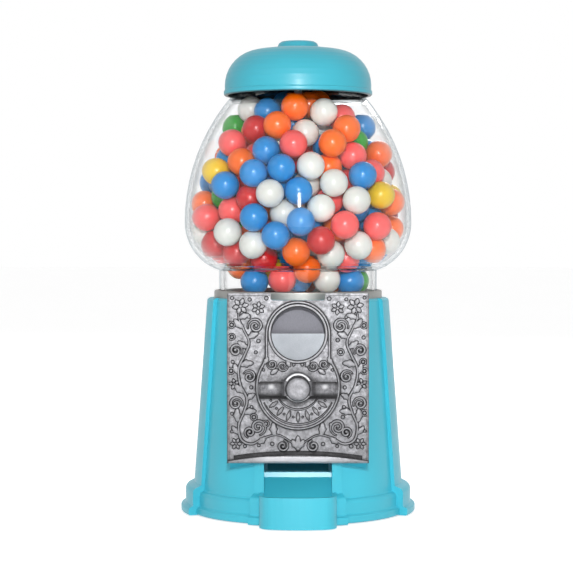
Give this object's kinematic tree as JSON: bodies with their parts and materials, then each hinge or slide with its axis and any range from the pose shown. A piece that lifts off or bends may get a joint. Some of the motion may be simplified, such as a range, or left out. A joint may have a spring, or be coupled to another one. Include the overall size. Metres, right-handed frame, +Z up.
{
  "type": "gumball machine",
  "caption": "Table-top gumball machine: painted metal body with coin mechanism and candy cup, pear-shaped glass globe of gumballs, domed lift-off lid.",
  "frame": {"origin": "on the table, on the machine's vertical axis", "axes": "+Z up, the front plate faces -Y, +X to the right seen from the front"},
  "size_m": [0.1396, 0.1518, 0.2794],
  "materials": {
    "paint": "gloss paint",
    "antique_metal": "antiqued satin",
    "bright_metal": "satin",
    "collar_metal": "satin",
    "zinc": "zinc plated",
    "brass": "machined",
    "clear_glass": "clear",
    "black_plastic": "moulded",
    "white_plastic": "moulded",
    "pad_rubber": "matte",
    "candy_white": "glazed candy",
    "candy_blue": "glazed candy",
    "candy_orange": "glazed candy",
    "candy_pink": "glazed candy",
    "candy_red": "glazed candy",
    "candy_yellow": "glazed candy",
    "candy_green": "glazed candy"
  },
  "bodies": {
    "housing": {"body": "paint", "base_plate": "zinc", "base_pad": "pad_rubber", "wing_nut": "zinc", "rod_washer": "zinc", "center_rod": "zinc", "hopper_floor": "black_plastic", "wheel_guard": "zinc", "guard_nut": "zinc", "globe_collar": "collar_metal", "globe_gasket": "pad_rubber", "globe": "clear_glass", "front_plate": "antique_metal", "coin_slot_plate": "bright_metal", "plate_screws": "zinc", "mechanism_plate": "zinc", "mechanism_screws": "zinc", "transfer_pin": "zinc", "transfer_clip": "zinc", "pawl_pin": "zinc", "pawl_spring": "zinc", "candy_chute": "black_plastic", "chute_standoffs": "zinc", "gumballs_white": "candy_white", "gumballs_blue": "candy_blue", "gumballs_orange": "candy_orange", "gumballs_pink": "candy_pink", "gumballs_red": "candy_red", "gumballs_yellow": "candy_yellow", "gumballs_green": "candy_green"},
    "lid": {"lid": "paint", "lid_insert": "brass"},
    "wheel": {"candy_wheel": "white_plastic", "wheel_gumballs": "candy_blue"},
    "crank": {"handle": "antique_metal", "drive_shaft": "zinc", "shaft_screw": "zinc", "coin_carrier": "bright_metal", "drive_gear": "white_plastic"},
    "transfer": {"transfer_gear": "white_plastic"},
    "pawl": {"coin_pawl": "zinc"},
    "plug": {"coin_plug": "pad_rubber"}
  },
  "joints": [
    {"name": "handle_turn", "type": "hinge", "parent": "housing", "child": "crank", "pos_m": [0, -0.061, 0.0786], "axis": [0, 1, 0], "continuous": true},
    {"name": "transfer_spin", "type": "hinge", "parent": "housing", "child": "transfer", "pos_m": [0, -0.048, 0.0994], "axis": [0, 1, 0], "continuous": true},
    {"name": "wheel_turn", "type": "hinge", "parent": "housing", "child": "wheel", "pos_m": [0, 0, 0.112], "axis": [0, 0, 1], "continuous": true},
    {"name": "pawl_swing", "type": "hinge", "parent": "housing", "child": "pawl", "pos_m": [-0.026, -0.0564, 0.0616], "axis": [0, -1, 0], "range_deg": [0, 10], "stiffness_Nm_per_rad": 0.02, "springref_deg": -11.46, "deforming": ["pawl_spring"]},
    {"name": "lid_lift", "type": "slide", "parent": "housing", "child": "lid", "axis": [0, 0, 1], "range_m": [0, 0.06]},
    {"name": "plug_pull", "type": "slide", "parent": "housing", "child": "plug", "axis": [0, 0, -1], "range_m": [0, 0.02]}
  ],
  "couplings": [
    {"joint": "transfer_spin", "follows": "handle_turn", "ratio": -1},
    {"joint": "wheel_turn", "follows": "handle_turn", "ratio": -0.16667}
  ]
}
